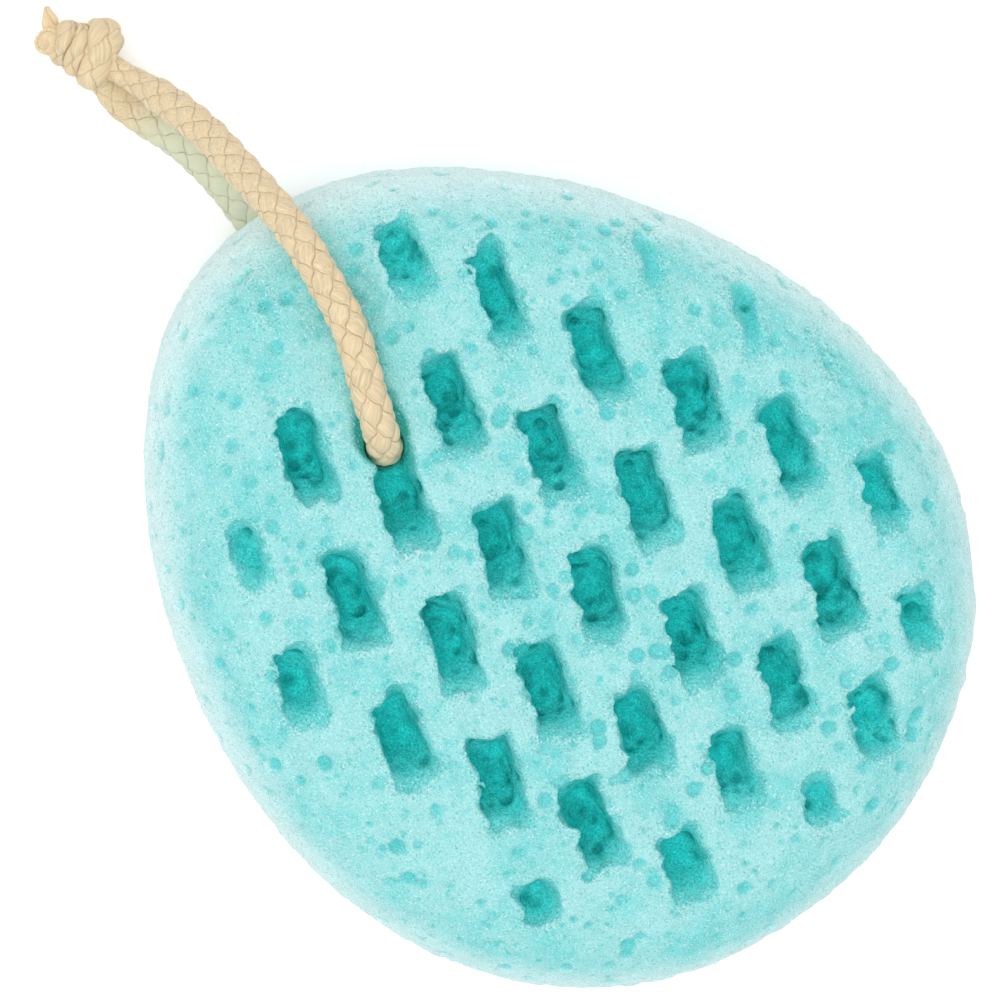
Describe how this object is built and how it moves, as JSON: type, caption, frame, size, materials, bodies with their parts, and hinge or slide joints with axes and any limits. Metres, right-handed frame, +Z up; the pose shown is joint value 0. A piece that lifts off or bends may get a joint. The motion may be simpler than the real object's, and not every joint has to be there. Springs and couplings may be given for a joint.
{
  "type": "bath sponge",
  "caption": "Egg-shaped foam bath sponge with rows of moulded pockets and a braided, knotted cord loop to hang it by.",
  "frame": {"origin": "middle of the foam pad's outline, on its underside, where the pad lies on a surface", "axes": "+Z up through the pad to its pocketed face, +X along the pad towards its broad end, so the cord leaves over the narrow end at -X"},
  "size_m": [0.1814, 0.1168, 0.047],
  "materials": {
    "foam": "matte",
    "cord": "matte"
  },
  "bodies": {
    "sponge": {"sponge_body": "foam"},
    "loop": {"cord_front_leg": "cord", "cord_through_sponge": "cord", "cord_back_leg": "cord", "cord_knot": "cord", "cord_end_tuft": "cord", "cord_end_stub": "cord"}
  },
  "joints": [
    {"name": "loop_swing", "type": "hinge", "parent": "sponge", "child": "loop", "pos_m": [-0.0326, -0.0033, 0.02], "axis": [0, 0, 1], "range_deg": [-12, 12]}
  ]
}
